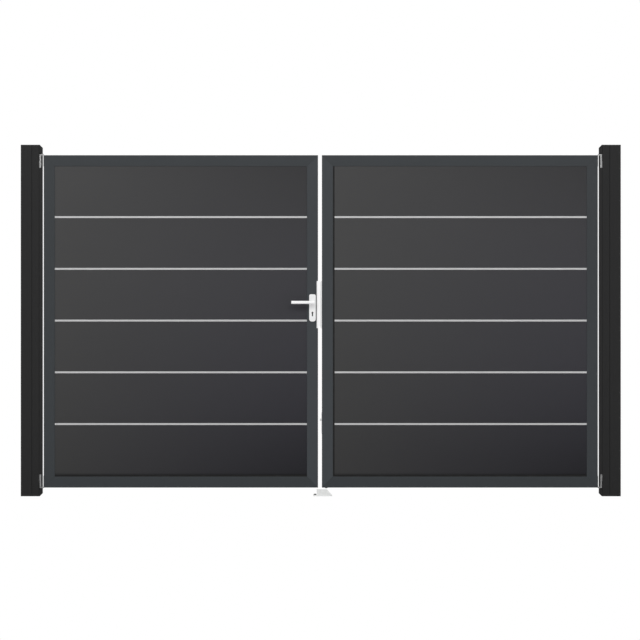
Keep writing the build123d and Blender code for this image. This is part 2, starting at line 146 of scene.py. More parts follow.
class HeadKind(Enum):
    """Fastener heads as rings of (radius, height, share of hexagon), in units of the head's radius."""

    SOCKET_SCREW = (
        (0.0, -0.42, 1.0),
        (0.5, -0.42, 1.0),
        (0.5, -0.02, 1.0),
        (0.56, 0.0, 0.6),
        (0.9, 0.0, 0.0),
        (1.0, -0.08, 0.0),
        (1.0, -0.3, 0.0),
    )
    HEX_BOLT = (
        (0.0, 0.82, 0.0),
        (0.78, 0.82, 0.0),
        (0.84, 0.8, 0.25),
        (0.98, 0.7, 1.0),
        (1.0, 0.66, 1.0),
        (1.0, 0.2, 1.0),
        (1.22, 0.2, 0.0),
        (1.5, 0.19, 0.0),
        (1.54, 0.15, 0.0),
        (1.54, 0.0, 0.0),
    )


# Shader graphs


class Value:
    """One output of a node; Python's operators on it add Math nodes."""

    def __init__(self, graph: "Graph", socket: bpy.types.NodeSocket) -> None:
        """Wraps an output socket of the graph."""
        self.graph = graph
        self.socket = socket

    def _math(self, operation: str, first: Operand, second: Operand) -> "Value":
        """Adds one Math node with the operation on both operands."""
        return self.graph.node("ShaderNodeMath", {"operation": operation}, {0: first, 1: second})

    def __add__(self, other: Operand) -> "Value":
        """Sum."""
        return self._math("ADD", self, other)

    def __radd__(self, other: float) -> "Value":
        """Sum with a number on the left."""
        return self._math("ADD", other, self)

    def __sub__(self, other: Operand) -> "Value":
        """Difference."""
        return self._math("SUBTRACT", self, other)

    def __rsub__(self, other: float) -> "Value":
        """Difference with a number on the left."""
        return self._math("SUBTRACT", other, self)

    def __mul__(self, other: Operand) -> "Value":
        """Product."""
        return self._math("MULTIPLY", self, other)

    def __rmul__(self, other: float) -> "Value":
        """Product with a number on the left."""
        return self._math("MULTIPLY", other, self)

    def centred(self) -> "Value":
        """A value between 0 and 1, moved to lie about 0."""
        return self - 0.5

    def wrapped(self, period: float) -> "Value":
        """Remainder after whole periods, never negative."""
        return self._math("FLOORED_MODULO", self, period)

    def floor(self) -> "Value":
        """Next whole number down."""
        return self._math("FLOOR", self, 0.0)

    def between(self, low: float, high: float) -> "Value":
        """Smooth step.

        Args:
            low: value that gives 0.
            high: value that gives 1.

        Returns:
            The smooth rise from 0 at low to 1 at high.
        """
        settings = {"interpolation_type": "SMOOTHSTEP", "clamp": True}
        inputs = {"Value": self, "From Min": low, "From Max": high}
        return self.graph.node("ShaderNodeMapRange", settings, inputs)


class Graph:
    """A node tree with one method for every node."""

    def __init__(self, tree: bpy.types.NodeTree) -> None:
        """Works on the tree as it stands."""
        self.tree = tree

    def node(
        self,
        kind: str,
        settings: dict[str, Union[str, bool]],
        inputs: dict[SocketKey, Feed],
        output: SocketKey = 0,
    ) -> Value:
        """Adds one node.

        Args:
            kind: the node's type.
            settings: its properties, which are set first.
            inputs: values or links by socket name or number.
            output: the socket to return.

        Returns:
            That output socket as a Value.
        """
        made = self.tree.nodes.new(kind)
        for key, setting in settings.items():
            setattr(made, key, setting)
        for key, value in inputs.items():
            self.feed(made.inputs[key], value)
        return Value(self, made.outputs[output])

    def feed(self, socket: bpy.types.NodeSocket, value: Feed) -> None:
        """Links a Value to a socket, or sets the socket's own number, colour or vector.

        Args:
            socket: the input socket.
            value: what it gets.
        """
        if isinstance(value, Value):
            self.tree.links.new(value.socket, socket)
        elif isinstance(value, tuple) and socket.type == "RGBA":
            socket.default_value = (*value, 1.0)
        else:
            socket.default_value = value


@dataclass(frozen=True)
class Pattern:
    """Noise: its cycles per metre along X, Y and Z, its octaves and the share of the finer ones."""

    scale: Triple
    octaves: float = 2.0
    rough: float = 0.5


def shade(colour: Colour, factor: float) -> Colour:
    """The colour times a number."""
    return (colour[0] * factor, colour[1] * factor, colour[2] * factor)


class Surface(Graph):
    """A material with a Principled shader, laid out on the piece's own coordinates in metres.

    MIX_LOW, MIX_HIGH and MIX_RESULT are the colour sockets of a Mix node; LIFT_TOP is the height above the
    ground, in metres, at which a colour made paler near the ground by painted light is its own again.
    """

    MIX_LOW: int = 6
    MIX_HIGH: int = 7
    MIX_RESULT: int = 2
    LIFT_TOP: float = 1.6

    def __init__(self, name: str) -> None:
        """Starts a material that holds only the shader and its output.

        Args:
            name: name of the material.
        """
        self.material = bpy.data.materials.new(name)
        self.material.use_nodes = True
        super().__init__(self.material.node_tree)
        self.shader = self.tree.nodes["Principled BSDF"]
        self.place = self.node("ShaderNodeTexCoord", {}, {}, "Object")

    def dress(self, **sockets: Feed) -> None:
        """Feeds the shader; a name's underscores stand for spaces."""
        for key, value in sockets.items():
            self.feed(self.shader.inputs[key.replace("_", " ")], value)

    def axis(self, axis: Axis) -> Value:
        """One coordinate of the surface, in metres."""
        return self.node("ShaderNodeSeparateXYZ", {}, {0: self.place}, axis.value)

    def noise(self, pattern: Pattern) -> Value:
        """Noise with its own fineness along each axis.

        Args:
            pattern: the fineness, octaves and roughness.

        Returns:
            A value between 0 and 1.
        """
        stretched = self.node("ShaderNodeMapping", {}, {"Vector": self.place, "Scale": pattern.scale})
        inputs = {"Vector": stretched, "Scale": 1.0, "Detail": pattern.octaves, "Roughness": pattern.rough}
        return self.node("ShaderNodeTexNoise", {"noise_dimensions": "3D"}, inputs)

    def tint(self, factor: Value, low: Union[Colour, Value], high: Union[Colour, Value]) -> Value:
        """Colour that runs from low to high.

        Args:
            factor: value from 0 to 1.
            low: colour at 0.
            high: colour at 1.

        Returns:
            The mixed colour.
        """
        settings = {"data_type": "RGBA", "clamp_factor": True}
        inputs = {"Factor": factor, self.MIX_LOW: low, self.MIX_HIGH: high}
        return self.node("ShaderNodeMix", settings, inputs, self.MIX_RESULT)

    def drifted(self, colour: Colour, drift: float, tone: Value) -> Value:
        """The colour, darker or paler by up to the drift with a tone from 0 to 1."""
        return self.tint(tone, shade(colour, 1 - drift), shade(colour, 1 + drift))

    def lifted(self, base: Value, colour: Colour, lift: float) -> Value:
        """A colour that turns paler towards the ground by painted light.

        Args:
            base: the colour as it is higher up.
            colour: its mean.
            lift: share by which painted light makes the mean paler at the ground; 0 leaves the base alone.

        Returns:
            The colour over the whole height.
        """
        if not lift:
            return base
        return self.tint(self.axis(Axis.Z).between(0.0, self.LIFT_TOP), shade(colour, 1 + lift), base)

    def bump(self, height: Value, depth: float) -> Value:
        """Normal bent by a height between 0 and 1; depth is the real height of 1, in metres."""
        return self.node("ShaderNodeBump", {}, {"Distance": depth, "Height": height}, "Normal")


# Kinds of finish


@dataclass(frozen=True)
class Finish:
    """A named material; each kind of finish paints it in its own way."""

    name: str

    def build(self) -> bpy.types.Material:
        """Makes the material.

        Returns:
            The finished material.
        """
        surface = Surface(self.name)
        self.paint(surface)
        return surface.material

    def paint(self, surface: Surface) -> None:
        """Feeds the shader of the surface."""
        raise NotImplementedError


@dataclass(frozen=True)
class PowderCoat(Finish):
    """Sprayed and baked coating: fine grain, slight drift of tone, dust low on the piece; painted light can make
    it paler towards the ground.
    """

    colour: Colour
    roughness: float
    specular: float
    grain: Pattern = Pattern((900.0, 900.0, 900.0), rough=0.6)
    grain_depth: float = 0.06 * MM
    grain_gloss: float = 0.12
    grain_share: float = 0.3
    clouds: Pattern = Pattern((3.0, 3.0, 2.0), octaves=3.0)
    drift: float = 0.1
    dust: float = 0.18
    dust_top: float = 0.35
    dust_specks: Pattern = Pattern((60.0, 60.0, 25.0), octaves=4.0, rough=0.65)
    dust_range: Range = (0.45, 0.75)
    dust_keeps: float = 0.75
    dust_adds: float = 0.02
    dust_matt: float = 0.1
    # Painted light: share by which the coat is paler at the ground.
    low_lift: float = 0.0

    def paint(self, surface: Surface) -> None:
        """Feeds the shader: a drifting tone, paler towards the ground by painted light, under dust that thins out
        upwards.

        Args:
            surface: the material to paint.
        """
        fine = surface.noise(self.grain)
        tone = surface.noise(self.clouds) * (1 - self.grain_share) + fine * self.grain_share
        low = 1 - surface.axis(Axis.Z).between(0.0, self.dust_top)
        dust = low * surface.noise(self.dust_specks).between(*self.dust_range)
        dusty = tuple(self.dust_keeps * channel + self.dust_adds for channel in self.colour)
        # Painted light: the coat turns paler towards the ground.
        coat = surface.lifted(surface.drifted(self.colour, self.drift, tone), self.colour, self.low_lift)
        surface.dress(
            Base_Color=surface.tint(dust * self.dust, coat, dusty),
            Roughness=self.roughness + self.grain_gloss * fine.centred() + self.dust_matt * dust,
            Specular_IOR_Level=self.specular,
            Normal=surface.bump(fine, self.grain_depth),
        )


@dataclass(frozen=True)
class BoardFinish(Finish):
    """Matt board: streaks along its length, each board a shade of its own; painted light makes it paler towards
    the upper left, adds a sheen and a shadow along its foot.
    """

    colour: Colour
    leaf_start: float
    leaf_pitch: float
    leaf_sight: float
    bottom: float
    board_pitch: float
    roughness: float = 0.62
    specular: float = 0.2
    # Painted light: a fall of the light over each leaf and a painted sheen at half height on the right.
    fade_along: float = 0.4
    fade_corner: float = 0.26
    fade_down: float = 0.24
    sheen: float = 0.3
    # Painted contact shadow along the foot of the boards: its height and its depth.
    foot: float = 14 * MM
    foot_shade: float = 0.4
    cool: Colour = (0.95, 0.93, 1.19)
    cool_share: Range = (0.2, 0.8)
    row_seed: float = 3.7
    column_seed: float = 11.3
    board_drift: float = 0.04
    streaks: Pattern = Pattern((2.0, 40.0, 700.0), octaves=3.0, rough=0.6)
    streak_tone: float = 0.08
    streak_gloss: float = 0.1
    clouds: Pattern = Pattern((1.2, 4.0, 5.0))
    cloud_tone: float = 0.06
    grain: Pattern = Pattern((40.0, 500.0, 1100.0), rough=0.6)
    grain_share: float = 0.6
    grain_depth: float = 0.08 * MM
    headroom: float = 2.0

    def own_shade(self, surface: Surface, run: Value, drop: Value) -> Value:
        """The shade of each board, from a random number for its row and leaf.

        Args:
            surface: the material to paint.
            run: distance along the gate, from the start of the left leaf's boards.
            drop: distance down from the top of the boards.

        Returns:
            A factor about 1.
        """
        row = (drop * (1 / self.board_pitch)).floor()
        column = (run * (1 / self.leaf_pitch)).floor()
        number = row * self.row_seed + column * self.column_seed
        own = surface.node("ShaderNodeTexWhiteNoise", {"noise_dimensions": "1D"}, {"W": number})
        return 1 + self.board_drift * own.centred()

    def fade(self, along: Value, down: Value) -> Value:
        """The painted fall of the light over a leaf, from 1 at its upper left.

        It falls with the square of the way down and with the way along, more so lower down. A painted sheen that
        is strongest at half height on the right, sheen times along times 4 down (1 - down), is added.

        Args:
            along: way from the left end of a leaf's boards to the right, 0 to 1.
            down: way from the top of the boards to the bottom, 0 to 1.

        Returns:
            The factor of the tone.
        """
        fall = (1 - self.fade_down * down * down) * (1 - (self.fade_along + self.fade_corner * down) * along)
        return fall + 4 * self.sheen * along * down * (1 - down)

    def paint(self, surface: Surface) -> None:
        """Feeds the shader: a tone between black and a full colour that turns cooler to the lower right.

        The tone is the painted fall of light and sheen, darker along the foot by a painted contact shadow, times
        the board's own shade, times streaks and clouds.

        Args:
            surface: the material to paint.
        """
        height = BOARDS * self.board_pitch
        run = surface.axis(Axis.X) - self.leaf_start
        drop = self.bottom + height - surface.axis(Axis.Z)
        along = run.wrapped(self.leaf_pitch) * (1 / self.leaf_sight)
        down = drop * (1 / height)
        streaks = surface.noise(self.streaks)
        clouds = surface.noise(self.clouds)
        relief = self.grain_share * surface.noise(self.grain) + (1 - self.grain_share) * streaks
        # Painted contact shadow along the bottom of the lowest board.
        foot = 1 - self.foot_shade * drop.between(height - self.foot, height)
        texture = 1 + (self.streak_tone * streaks.centred() + self.cloud_tone * clouds.centred())
        tone = self.fade(along, down) * foot * self.own_shade(surface, run, drop) * texture
        warm = shade(self.colour, self.headroom)
        cool = tuple(channel * cast for channel, cast in zip(warm, self.cool))
        full = surface.tint(along * (self.cool_share[0] + self.cool_share[1] * down), warm, cool)
        surface.dress(
            Base_Color=surface.tint(tone * (1 / self.headroom), BLACK, full),
            Roughness=self.roughness + self.streak_gloss * streaks.centred(),
            Specular_IOR_Level=self.specular,
            Normal=surface.bump(relief, self.grain_depth),
        )


@dataclass(frozen=True)
class BrushedMetal(Finish):
    """Satin metal with fine lines along one axis; below a place on an axis, if given, in another colour; where
    set, painted light makes it paler towards the ground.
    """

    colour: Colour
    lines: Triple
    roughness: float
    metallic: float
    line_octaves: float = 3.0
    line_rough: float = 0.65
    line_depth: float = 0.03 * MM
    line_gloss: float = 0.14
    line_share: float = 0.6
    clouds: Pattern = Pattern((18.0, 18.0, 18.0), octaves=3.0)
    drift: float = 0.08
    smears: Pattern = Pattern((45.0, 45.0, 30.0), octaves=4.0, rough=0.6)
    smear_range: Range = (0.55, 0.8)
    smear_matt: float = 0.08
    # Painted light: share by which the metal is paler at the ground.
    low_lift: float = 0.0
    split_axis: Axis = Axis.X
    split_at: Optional[float] = None
    split_blur: float = 1 * MM
    low_colour: Colour = BLACK

    def paint(self, surface: Surface) -> None:
        """Feeds the shader: fine lines over soft clouds, with smears that take some of the gloss.

        Args:
            surface: the material to paint.
        """
        lines = surface.noise(Pattern(self.lines, self.line_octaves, self.line_rough))
        tone = self.line_share * lines + (1 - self.line_share) * surface.noise(self.clouds)
        smear = surface.noise(self.smears).between(*self.smear_range)
        # Painted light: the metal turns paler towards the ground, where set.
        base = surface.lifted(surface.drifted(self.colour, self.drift, tone), self.colour, self.low_lift)
        if self.split_at is not None:
            above = surface.axis(self.split_axis).between(self.split_at - self.split_blur, self.split_at)
            base = surface.tint(above, self.low_colour, base)
        surface.dress(
            Base_Color=base,
            Roughness=self.roughness + self.line_gloss * lines.centred() + self.smear_matt * smear,
            Metallic=self.metallic,
            Normal=surface.bump(lines, self.line_depth),
        )


@dataclass(frozen=True)
class Moulding(Finish):
    """Moulded rubber or plastic: soft mottling and a fine grain."""

    colour: Colour
    roughness: float
    specular: float = 0.25
    grain: Pattern = Pattern((1400.0, 1400.0, 1400.0), octaves=1.0)
    grain_depth: float = 0.04 * MM
    grain_gloss: float = 0.1
    bloom: float = 1.5
    bloom_spots: Pattern = Pattern((25.0, 25.0, 25.0), octaves=4.0)
    bloom_range: Range = (0.4, 0.8)

    def paint(self, surface: Surface) -> None:
        """Feeds the shader: the colour with paler bloom in spots.

        Args:
            surface: the material to paint.
        """
        grain = surface.noise(self.grain)
        bloom = surface.noise(self.bloom_spots).between(*self.bloom_range)
        surface.dress(
            Base_Color=surface.tint(bloom, self.colour, shade(self.colour, self.bloom)),
            Roughness=self.roughness + self.grain_gloss * grain.centred(),
            Specular_IOR_Level=self.specular,
            Normal=surface.bump(grain, self.grain_depth),
        )


@dataclass(frozen=True)
class FloorPaint(Finish):
    """Pale matt studio floor that brightens away from the gate."""

    centre_x: float
    low: Colour = (0.8, 0.8, 0.8)
    high: Colour = (0.84, 0.84, 0.84)
    mottle: Pattern = Pattern((0.8, 0.8, 0.8), octaves=3.0)
    roughness: float = 0.9
    fade: Range = (1.5, 9.0)
    near_glow: Colour = (0.05, 0.05, 0.05)
    far_glow: Colour = (0.6, 0.6, 0.6)

    def paint(self, surface: Surface) -> None:
        """Feeds the shader: a mottled paint with a glow that grows with the distance from the gate.

        Args:
            surface: the material to paint.
        """
        across = surface.axis(Axis.X) - self.centre_x
        back = surface.axis(Axis.Y)
        away = (across * across + back * back).between(self.fade[0] ** 2, self.fade[1] ** 2)
        surface.dress(
            Base_Color=surface.tint(surface.noise(self.mottle), self.low, self.high),
            Roughness=self.roughness,
            Emission_Color=surface.tint(away, self.near_glow, self.far_glow),
            Emission_Strength=1.0,
        )


# Finishes of the gate

# Painted light: the posts' and the frame's coats are made paler towards the ground.
POST_COAT = PowderCoat(
    "post_powder_coat", colour=(0.0126, 0.0126, 0.0128), roughness=0.62, specular=0.2, low_lift=0.2
)
FRAME_COAT = PowderCoat(
    "frame_powder_coat", colour=(0.026, 0.0302, 0.0336), roughness=0.55, specular=0.3, low_lift=0.27
)
# Painted light: the meeting stiles wear a paler copy of the frame coat, paler still towards the ground, so that
# they show brighter than the rest of the frame.
MEETING_STILE_LIT_COAT = replace(
    FRAME_COAT, name="meeting_stile_powder_coat", colour=(0.032, 0.0368, 0.0412), low_lift=0.36
)
STOP_COAT = PowderCoat(
    "stop_coating",
    colour=(0.84, 0.85, 0.84),
    roughness=0.55,
    specular=0.4,
    grain=Pattern((700.0, 700.0, 700.0), rough=0.6),
    grain_depth=0.1 * MM,
    drift=0.04,
    dust=0.2,
    dust_top=0.06,
)
CAP_PLASTIC = Moulding("end_cap_plastic", colour=(0.014, 0.014, 0.014), roughness=0.6)
GASKET_RUBBER = Moulding("gasket_rubber", colour=(0.012, 0.012, 0.012), roughness=0.82)
STRIP_METAL = BrushedMetal(
    "anodised_strip",
    colour=(0.52, 0.52, 0.523),
    lines=(4.0, 900.0, 900.0),
    roughness=0.36,
    metallic=0.35,
    # Painted light: the strips are made paler towards the ground.
    low_lift=0.14,
)
HINGE_STEEL = BrushedMetal(
    "hinge_steel", colour=(0.38, 0.38, 0.38), lines=(900.0, 900.0, 12.0), roughness=0.34, metallic=0.85
)
LOCK_SATIN = BrushedMetal(
    "lock_satin", colour=(0.9, 0.9, 0.905), lines=(60.0, 60.0, 700.0), roughness=0.32, metallic=0.15
)
# Painted light: the levers wear a paler, non-metal copy of the lock satin, which makes the shaded round grip look
# brighter.
LEVER_LIT_SATIN = replace(LOCK_SATIN, name="lever_satin", colour=(0.96, 0.96, 0.962), metallic=0.0)


def board_finish() -> BoardFinish:
    """Board finish, laid out on the boards' own places; the gasket is as long as the boards that show.

    Returns:
        The finish.
    """
    low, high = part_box("left_gasket")
    return BoardFinish(
        name="matt_board",
        colour=(0.0475, 0.0475, 0.0479),
        leaf_start=low.x,
        leaf_pitch=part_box("right_board_2")[0].x - low.x,
        leaf_sight=high.x - low.x,
        bottom=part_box(f"left_board_{BOARDS}")[0].z,
        board_pitch=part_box("left_board_2")[0].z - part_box("left_board_3")[0].z,
    )


def bolt_steel(below_plate: float = 30 * MM, rod: Colour = (0.035, 0.035, 0.036)) -> BrushedMetal:
    """Steel of the drop bolt, pale at its knob and plate and dark further down.

    Args:
        below_plate: distance from the plate down to the dark rod.
        rod: colour of the dark rod.

    Returns:
        The finish.
    """
    return replace(
        LOCK_SATIN,
        name="bolt_steel",
        lines=(700.0, 700.0, 15.0),
        roughness=0.4,
        split_axis=Axis.Z,
        split_at=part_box("drop_bolt_plate")[0].z - below_plate,
        low_colour=rod,
    )


def lock_case_steel(from_edge: float = 6.5 * MM, case: Colour = (0.027, 0.027, 0.027)) -> BrushedMetal:
    """Steel of the forend, pale at the edge of the leaf and dark on the case inside it; the dark also covers a
    thin strip of the forend's lip beside the lock plate, as a painted shadow line.

    Args:
        from_edge: distance from the edge of the leaf in to the dark, whose first strip is a painted shadow line.
        case: colour of the dark case.

    Returns:
        The finish.
    """
    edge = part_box("left_meeting_stile")[1].x
    return replace(LOCK_SATIN, name="lock_case_steel", split_at=edge - from_edge, low_colour=case)


class Palette:
    """The materials of the gate: one for each slot, and those that only some pieces wear."""

    def __init__(self) -> None:
        """Builds every material and reads the slot of each solid."""
        finishes: dict[Slot, Finish] = {
            Slot.POST_COATING: POST_COAT,
            Slot.POST_END: CAP_PLASTIC,
            Slot.FRAME_COATING: FRAME_COAT,
            Slot.BOARD: board_finish(),
            Slot.STRIP: STRIP_METAL,
            Slot.GASKET: GASKET_RUBBER,
            Slot.HINGE_METAL: HINGE_STEEL,
            Slot.LOCK_METAL: LOCK_SATIN,
            Slot.BOLT_METAL: bolt_steel(),
            Slot.STOP_COATING: STOP_COAT,
        }
        self.materials = {slot: finish.build() for slot, finish in finishes.items()}
        # Paler, lit copy of the frame coat for the meeting stiles: painted light.
        self.meeting_stile = MEETING_STILE_LIT_COAT.build()
        # Paler copy of the lock satin for the levers: painted light.
        self.lever = LEVER_LIT_SATIN.build()
        # Forend steel, with a painted shadow line on its lip beside the lock plate.
        self.lock_case = lock_case_steel().build()
        self.nodes: dict[str, bpy.types.Object] = frame["nodes"]
        self.slots = {entry["node"]: Slot(entry["material_slot"]) for entry in frame["record"]["subparts"]}
        self.bare = set(self.nodes)

    def dress(self, *names: str, material: Optional[bpy.types.Material] = None) -> None:
        """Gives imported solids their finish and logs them.

        Args:
            names: nodes to dress.
            material: finish to use in place of the one of the node's slot.
        """
        for name in names:
            skins = self.nodes[name].data.materials
            skins.clear()
            skins.append(material or self.materials[self.slots[name]])
            self.bare.discard(name)
            LOG.info("solid %s wears %s", name, skins[0].name)


# Meshes


def piece_from_grids(
    name: str,
    grids: np.ndarray,
    round_v: bool,
    merge_within: float = 1e-7,
    collapse_within: float = 1e-8,
) -> bpy.types.Object:
    """Joins grids of points into one mesh of quads, one sheet for each grid.

    Each sheet is P(u, v), an array of points; quads join neighbours, and the last column joins the first
    where the surface is closed that way. Doubled points at poles are merged.

    Args:
        name: name of the piece.
        grids: array of shape (sheets, U, V, 3) in metres.
        round_v: whether the second parameter closes on itself.
        merge_within: distance under which points are merged.
        collapse_within: length under which edges are removed.

    Returns:
        The new object, in the scene at the origin.
    """
    sheets, count_u, count_v, _ = grids.shape
    u = np.arange(count_u - 1)
    v = np.arange(count_v if round_v else count_v - 1)
    uu, vv = np.meshgrid(u, v, indexing="ij")
    next_u, next_v = uu + 1, (vv + 1) % count_v
    corners = [uu * count_v + vv, next_u * count_v + vv, next_u * count_v + next_v, uu * count_v + next_v]
    quads = np.stack(corners, axis=-1).reshape(-1, 4)
    shift = np.arange(sheets)[:, None, None] * (count_u * count_v)
    mesh = bpy.data.meshes.new(name)
    mesh.from_pydata(grids.reshape(-1, 3).tolist(), [], (quads[None] + shift).reshape(-1, 4).tolist())
    merged = bmesh.new()
    merged.from_mesh(mesh)
    bmesh.ops.remove_doubles(merged, verts=merged.verts, dist=merge_within)
    bmesh.ops.dissolve_degenerate(merged, edges=merged.edges, dist=collapse_within)
    bmesh.ops.recalc_face_normals(merged, faces=merged.faces)
    merged.to_mesh(mesh)
    merged.free()
    made = bpy.data.objects.new(name, mesh)
    bpy.context.scene.collection.objects.link(made)
    return made


def full_turn(count: int) -> np.ndarray:
    """Angles of a closed circle, the first not repeated at its end."""
    return np.linspace(0.0, 2 * np.pi, count, endpoint=False)


def settle(
    piece: bpy.types.Object,
    body: Body,
    material: bpy.types.Material,
    sharp: float,
) -> None:
    """Gives a new piece its material, shading and body, and logs it.

    Args:
        piece: the new object.
        body: the body that it rides on.
        material: its finish.
        sharp: edges that turn by more than this stay sharp, in degrees.
    """
    piece.data.materials.append(material)
    bpy.context.view_layer.objects.active = piece
    piece.select_set(True)
    bpy.ops.object.shade_smooth_by_angle(angle=math.radians(sharp))
    piece.select_set(False)
    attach(piece, body.value)
    LOG.info("piece %s rides on %s, %d faces", piece.name, body.value, len(piece.data.polygons))


@dataclass
class Fasteners:
    """A set of like screws or bolts on one body, joined in one mesh."""

    name: str
    kind: HeadKind
    radius: float
    spots: np.ndarray
    out: Vector
    segments: int = 36
    sharp: float = 25.0

    def rings(self) -> np.ndarray:
        """Local surface of one head.

        A point at ring i and angle t lies at radius r(t), where r(t) runs from a circle to the hexagon
        r cos(30) / cos((t mod 60) - 30) by the ring's share, and at the ring's height.

        Returns:
            Points of shape (rings, segments, 3), with the third axis pointing out of the head.
        """
        table = np.array(self.kind.value)
        turn = full_turn(self.segments)
        hexagon = np.cos(np.pi / 6) / np.cos(np.mod(turn, np.pi / 3) - np.pi / 6)
        shape = 1 + table[:, 2:3] * (hexagon[None, :] - 1)
        reach = table[:, 0:1] * shape * self.radius
        height = np.broadcast_to(table[:, 1:2] * self.radius, reach.shape)
        return np.stack([reach * np.cos(turn), reach * np.sin(turn), height], axis=-1)

    def build(self, body: Body, slot: Slot, palette: Palette) -> None:
        """Places the head at every spot, facing out: P = spot + head turned into the outward frame.

        Args:
            body: the body that they ride on.
            slot: their material slot.
            palette: the materials.
        """
        out = np.array(self.out.normalized())
        side = np.array(self.out.orthogonal().normalized())
        basis = np.stack([side, np.cross(out, side), out])
        grids = self.spots[:, None, None, :] + (self.rings() @ basis)[None]
        settle(piece_from_grids(self.name, grids, True), body, palette.materials[slot], self.sharp)


def edge_screws(
    node: str,
    sign: int,
    inset: float,
    body: Body,
    palette: Palette,
    radius: float = 4 * MM,
) -> None:
    """Puts a screw near each end of a plate on the meeting edge of a leaf.

    Args:
        node: the plate.
        sign: the way that its face looks along X.
        inset: distance of a screw from the plate's end.
        body: the body that the plate rides on.
        palette: the materials.
        radius: radius of a screw head.
    """
    low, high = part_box(node)
    x = high.x if sign > 0 else low.x
    y = (low.y + high.y) / 2
    spots = np.array([[x, y, low.z + inset], [x, y, high.z - inset]])
    screws = Fasteners(f"{node}_screws", HeadKind.SOCKET_SCREW, radius, spots, Vector((sign, 0, 0)))
    screws.build(body, palette.slots[node], palette)


# Sub-assemblies


@dataclass
class Assembly:
    """A sub-assembly of the gate, which dresses its solids and builds the pieces that they lack."""

    palette: Palette

    def dress(self) -> None:
        """Gives the solids their finish."""
        raise NotImplementedError

    def build(self) -> None:
        """Makes new pieces, where there are any."""


@dataclass
class Posts(Assembly):
    """Both posts with their caps, feet and hinge rails."""

    pieces: tuple[str, ...] = ("post", "post_cap", "post_foot", "hinge_rail")

    def dress(self) -> None:
        """Gives the solids their finish."""
        for side in Side:
            self.palette.dress(*(f"{side.label}_{piece}" for piece in self.pieces))


@dataclass
class Leaf(Assembly):
    """One leaf: frame, boards, strips and gasket, with fine dark joint lines across the frame's mitres."""

    side: Side
    frame_width: float = 60 * MM
    seam_width: float = 0.7 * MM
    seam_lift: float = 0.04 * MM
    seam_start: float = 2.2 * MM
    seam_stop: float = 1.1 * MM
    seam_points: int = 8
    sharp: float = 35.0
    pieces: tuple[str, ...] = ("hinge_stile", "top_rail", "bottom_rail", "strips", "gasket")

    def dress(self) -> None:
        """Gives the solids their finish."""
        boards = tuple(f"board_{number}" for number in range(1, BOARDS + 1))
        self.palette.dress(*(f"{self.side.label}_{piece}" for piece in self.pieces + boards))
        # The meeting stiles wear the lit copy of the frame coat: painted light.
        self.palette.dress(f"{self.side.label}_meeting_stile", material=self.palette.meeting_stile)

    def seams(self) -> np.ndarray:
        """Joint lines at the four corners on both faces.

        Each line is a ribbon P(u, v) on the face: u runs from the outer to the inner corner, v across its
        width, so that x and z lie u + v and u - v inside the corner.

        Returns:
            Points of shape (8, points, 2, 3).
        """
        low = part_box(f"{self.side.label}_bottom_rail")[0]
        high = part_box(f"{self.side.label}_top_rail")[1]
        u = np.linspace(self.seam_start, self.frame_width - self.seam_stop, self.seam_points)[:, None]
        v = np.array([[-0.5, 0.5]]) * self.seam_width * math.sqrt(0.5)
        ribbons = []
        for sign_x, corner_x in ((1, low.x), (-1, high.x)):
            for sign_z, corner_z in ((1, low.z), (-1, high.z)):
                for face, y in ((Face.FRONT, low.y), (Face.REAR, high.y)):
                    x = corner_x + sign_x * (u + v)
                    z = corner_z + sign_z * (u - v)
                    plane = np.full_like(x, y + face.value * self.seam_lift)
                    ribbons.append(np.stack([x, plane, z], axis=-1))
        return np.stack(ribbons)

    def build(self) -> None:
        """Lays the joint lines on the frame."""
        lines = piece_from_grids(f"{self.side.label}_mitre_seams", self.seams(), False)
        settle(lines, self.side.leaf, self.palette.materials[Slot.GASKET], self.sharp)


@dataclass
class Hinges(Assembly):
    """The two hinges of one leaf, with two screws in each plate on the leaf and each foot on the post."""

    side: Side
    plate: float = 2 * MM
    screw_radius: float = 3.2 * MM
    from_rear: float = 8 * MM
    foot_rows: Range = (9 * MM, 27 * MM)
    plate_rows: Range = (16 * MM, 42 * MM)

    def dress(self) -> None:
        """Gives the solids their finish."""
        self.palette.dress(f"{self.side.label}_hinge_pins", f"{self.side.label}_leaf_hinges")

    def screws(self, node: str, body: Body, facing: int, rows: Range) -> None:
        """Puts the screws of one half of both hinges.

        Args:
            node: the hinge halves.
            body: the body that they ride on.
            facing: the way that the screwed face looks along X.
            rows: distance of the screws from the outer end of each half.
        """
        low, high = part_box(node)
        x = (low.x if facing > 0 else high.x) + facing * self.plate
        y = high.y - self.from_rear
        heights = [low.z + row for row in rows] + [high.z - row for row in rows]
        spots = np.array([[x, y, z] for z in heights])
        out = Vector((facing, 0, 0))
        heads = Fasteners(f"{node}_screws", HeadKind.SOCKET_SCREW, self.screw_radius, spots, out)
        heads.build(body, Slot.HINGE_METAL, self.palette)

    def build(self) -> None:
        """Puts all screws of the leaf's hinges."""
        outward = self.side.value
        self.screws(f"{self.side.label}_leaf_hinges", self.side.leaf, outward, self.plate_rows)
        self.screws(f"{self.side.label}_hinge_pins", Body.POSTS, -outward, self.foot_rows)


